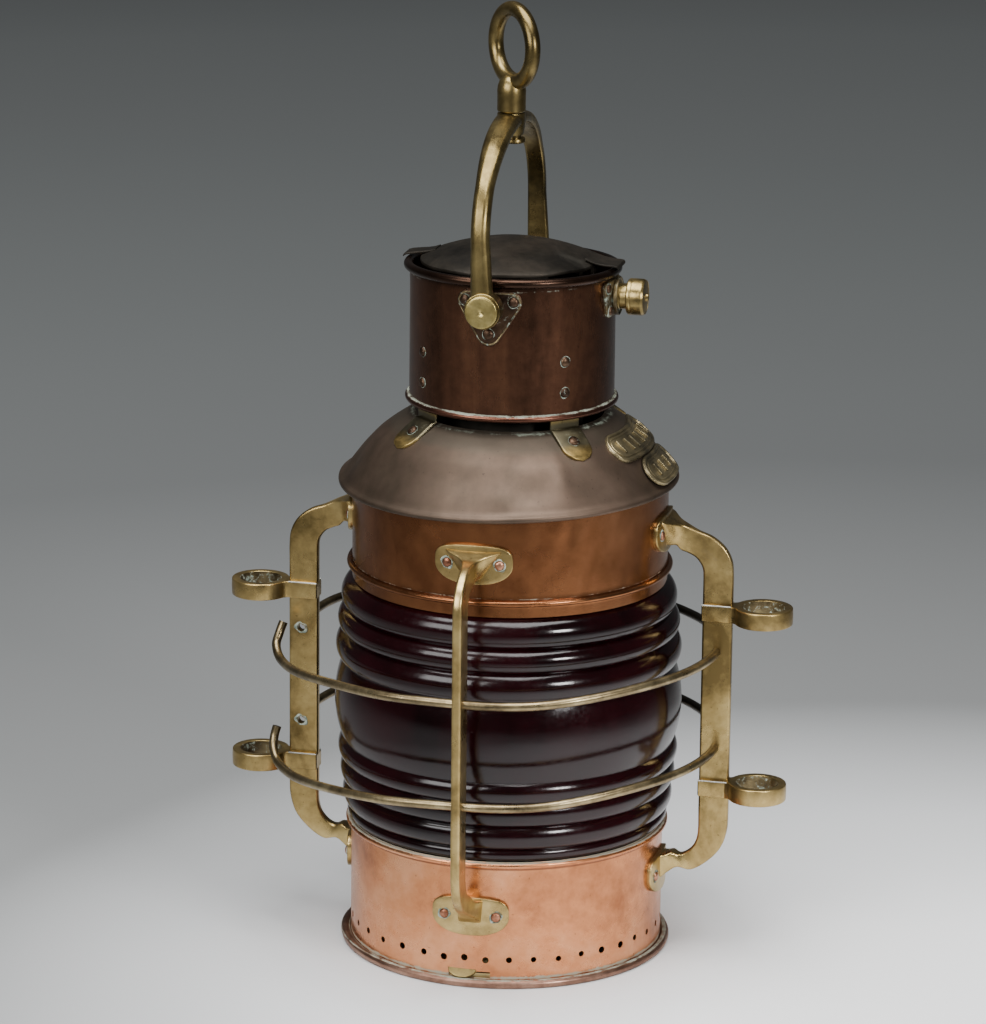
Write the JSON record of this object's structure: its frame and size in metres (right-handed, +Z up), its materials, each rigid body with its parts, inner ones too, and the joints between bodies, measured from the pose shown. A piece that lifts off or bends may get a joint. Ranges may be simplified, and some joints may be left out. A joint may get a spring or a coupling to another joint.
{
  "type": "ship lantern",
  "caption": "All-round ship signal lantern: ruby barrel lens in a brass guard cage, copper bands, domed shoulder, chimney with lifting cap, swinging bail and swivel hanging ring.",
  "frame": {"origin": "centre of the base flange, on the plane it stands on", "axes": "+Z up along the lantern axis, -Y towards the front guard bar, +X towards the latch knob and the right guide eyes"},
  "size_m": [0.382, 0.3024, 0.6377],
  "materials": {
    "copper_base": "satin, tarnished copper",
    "copper_lower": "satin, patinated copper",
    "copper_upper": "glossy brown copper",
    "copper_dome": "dull dented copper",
    "copper_chimney": "glossy dark copper",
    "copper_cap": "matte blackened copper",
    "copper_rivet": "satin copper",
    "brass_guard": "satin old brass",
    "brass_fitting": "satin old brass",
    "brass_polished": "handled bright brass",
    "brass_verdigris": "brass with green patina",
    "brass_bail": "satin dark brass",
    "inner_brass": "satin",
    "inner_tin": "tinned sheet",
    "clear_glass": "clear",
    "ruby_glass": "deep ruby, glossy",
    "gasket": "woven packing",
    "wick_cotton": "cotton"
  },
  "bodies": {
    "lantern_body": {"bail_pin_back": "brass_fitting", "bail_pin_front": "brass_polished", "base_flange": "copper_base", "bayonet_ring": "inner_brass", "chimney": "copper_chimney", "dome": "copper_dome", "dome_rivets": "copper_rivet", "guard_bar_back": "brass_guard", "guard_bar_front": "brass_guard", "guard_bar_left": "brass_guard", "guard_bar_right": "brass_guard", "guard_rivets": "copper_rivet", "guard_rod_lower": "brass_guard", "guard_rod_upper": "brass_guard", "guide_eye_left_lower": "brass_guard", "guide_eye_left_upper": "brass_guard", "guide_eye_right_lower": "brass_guard", "guide_eye_right_upper": "brass_guard", "latch_barrel": "brass_fitting", "latch_plate": "brass_verdigris", "latch_rivets": "copper_rivet", "lens": "ruby_glass", "lower_band": "copper_lower", "lower_gasket": "gasket", "lower_seat": "inner_tin", "maker_plate": "brass_verdigris", "strap_back_left": "brass_fitting", "strap_back_right": "brass_fitting", "strap_front_left": "brass_fitting", "strap_front_right": "brass_fitting", "strap_rivets": "copper_rivet", "trunnion_back": "brass_verdigris", "trunnion_front": "brass_verdigris", "trunnion_rivets": "copper_rivet", "upper_band": "copper_upper", "upper_gasket": "gasket", "upper_seat": "inner_tin"},
    "bail": {"bail": "brass_bail"},
    "hanging_ring": {"hanging_ring": "brass_bail", "ring_nut": "brass_bail"},
    "latch": {"latch_knob": "brass_fitting", "latch_bolt": "brass_fitting"},
    "cap_unit": {"cap_dome": "copper_cap", "cap_tongue_right": "copper_cap", "cap_tongue_left": "copper_cap", "cap_keeper": "copper_cap", "inner_flue": "copper_cap"},
    "burner_unit": {"burner_tray": "inner_brass", "oil_font": "inner_tin", "filler_cap": "inner_brass", "burner": "inner_brass", "glass_gallery": "inner_brass", "lamp_glass": "clear_glass"},
    "winder": {"winder_shaft": "inner_brass", "spur_wheel": "inner_brass", "winder_knob": "inner_brass"},
    "wick": {"wick": "wick_cotton"}
  },
  "joints": [
    {"name": "bail_swing", "type": "hinge", "parent": "lantern_body", "child": "bail", "pos_m": [0, 0, 0.4505], "axis": [0, 1, 0], "range_deg": [-110, 110]},
    {"name": "ring_swivel", "type": "hinge", "parent": "bail", "child": "hanging_ring", "pos_m": [0, 0, 0.557], "axis": [0, 0, 1], "continuous": true},
    {"name": "latch_pull", "type": "slide", "parent": "lantern_body", "child": "latch", "axis": [1, 0, 0], "range_m": [-0.006, 0]},
    {"name": "cap_lift", "type": "slide", "parent": "lantern_body", "child": "cap_unit", "axis": [0, 0, 1], "range_m": [0, 0.03]},
    {"name": "base_turn", "type": "hinge", "parent": "lantern_body", "child": "burner_unit", "pos_m": [0, 0, 0.01], "axis": [0, 0, 1], "range_deg": [0, 8]},
    {"name": "winder_turn", "type": "hinge", "parent": "burner_unit", "child": "winder", "pos_m": [0, 0.0065, 0.0595], "axis": [-1, 0, 0], "range_deg": [0, 101]},
    {"name": "wick_raise", "type": "slide", "parent": "burner_unit", "child": "wick", "axis": [0, 0, 1], "range_m": [0, 0.008]}
  ],
  "couplings": [
    {"joint": "wick_raise", "follows": "winder_turn", "m_per_rad": 0.0045}
  ]
}
